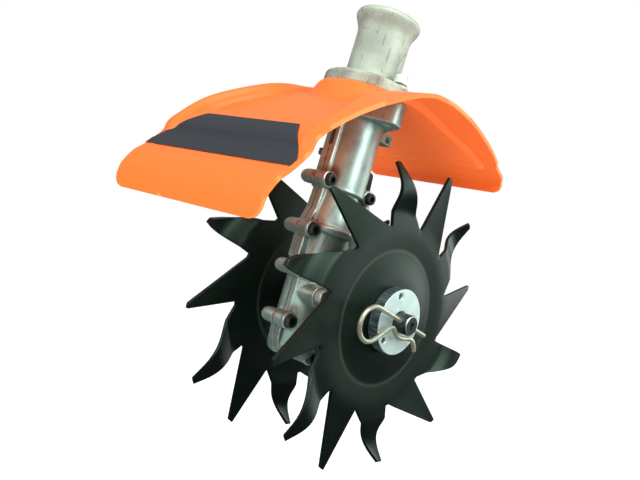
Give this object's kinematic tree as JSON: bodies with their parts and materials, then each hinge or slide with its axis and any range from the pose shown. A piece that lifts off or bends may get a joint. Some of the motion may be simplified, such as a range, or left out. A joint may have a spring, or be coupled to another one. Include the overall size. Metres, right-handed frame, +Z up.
{
  "type": "mini cultivator",
  "caption": "Weeding head for a brush-cutter tube: worm gearbox under an arched mudguard, turning a toothed disc on each end of its cross shaft.",
  "frame": {"origin": "centre of the tube socket's mouth", "axes": "+Z up along the drive tube, out of the socket; +X along the cross shaft; -Y towards the label and the long front wing of the mudguard"},
  "size_m": [0.142, 0.2846, 0.3259],
  "materials": {
    "cast_aluminium": "as-cast, slightly scuffed and oil stained",
    "orange_plastic": "glossy moulded",
    "label_film": "satin printed film, plain",
    "gasket_sealant": "dried sealant",
    "black_oxide": "oiled black oxide",
    "zinc_plate": "clear zinc plate",
    "yellow_zinc": "pale yellow zinc plate",
    "disc_coating": "satin black coating on spring steel",
    "seal_rubber": "matt",
    "wheel_bronze": "machined",
    "machined_steel": "turned"
  },
  "bodies": {
    "head": {"tube_socket": "cast_aluminium", "mudguard": "orange_plastic", "mudguard_label": "label_film", "socket_bolt_right": "zinc_plate", "socket_bolt_left": "zinc_plate", "socket_washer_right": "black_oxide", "socket_washer_left": "black_oxide", "gearbox_half_right": "cast_aluminium", "gearbox_half_left": "cast_aluminium", "gearbox_gasket": "gasket_sealant", "gearbox_screw_1": "black_oxide", "gearbox_screw_2": "black_oxide", "gearbox_screw_3": "black_oxide", "gearbox_screw_4": "black_oxide", "gearbox_screw_5": "black_oxide", "gearbox_screw_6": "black_oxide", "gearbox_screw_7": "black_oxide", "gearbox_screw_8": "black_oxide", "gearbox_screw_9": "black_oxide", "gearbox_screw_10": "black_oxide", "tube_pinch_screw": "black_oxide", "tube_grub_screw": "black_oxide", "oil_filler_plug": "zinc_plate", "worm_bearing_top_outer": "machined_steel", "worm_bearing_top_balls": "machined_steel", "worm_bearing_bottom_outer": "machined_steel", "worm_bearing_bottom_balls": "machined_steel", "worm_oil_seal": "seal_rubber", "shaft_bearing_outer_right": "machined_steel", "shaft_bearing_balls_right": "machined_steel", "shaft_oil_seal_right": "seal_rubber", "shaft_bearing_outer_left": "machined_steel", "shaft_bearing_balls_left": "machined_steel", "shaft_oil_seal_left": "seal_rubber"},
    "cross_shaft_set": {"cross_shaft": "machined_steel", "worm_wheel": "wheel_bronze", "wheel_key": "machined_steel", "shaft_bearing_inner_right": "machined_steel", "shaft_spacer_right": "machined_steel", "disc_hub_right": "zinc_plate", "hub_key_right": "machined_steel", "shaft_clip_right": "yellow_zinc", "hub_screw_right_1": "machined_steel", "hub_screw_right_2": "machined_steel", "hub_screw_right_3": "machined_steel", "weeding_disc_right": "disc_coating", "shaft_bearing_inner_left": "machined_steel", "shaft_spacer_left": "machined_steel", "disc_hub_left": "zinc_plate", "hub_key_left": "machined_steel", "shaft_clip_left": "yellow_zinc", "hub_screw_left_1": "machined_steel", "hub_screw_left_2": "machined_steel", "hub_screw_left_3": "machined_steel", "weeding_disc_left": "disc_coating"},
    "worm_set": {"worm_shaft": "machined_steel", "worm_bearing_top_inner": "machined_steel", "worm_bearing_bottom_inner": "machined_steel"}
  },
  "joints": [
    {"name": "disc_spin", "type": "hinge", "parent": "head", "child": "cross_shaft_set", "pos_m": [0, 0.0434, -0.212], "axis": [1, 0, 0], "continuous": true},
    {"name": "worm_spin", "type": "hinge", "parent": "head", "child": "worm_set", "pos_m": [0, 0, -0.212], "axis": [0, 0, 1], "continuous": true}
  ],
  "couplings": [
    {"joint": "worm_spin", "follows": "disc_spin", "ratio": 32}
  ]
}
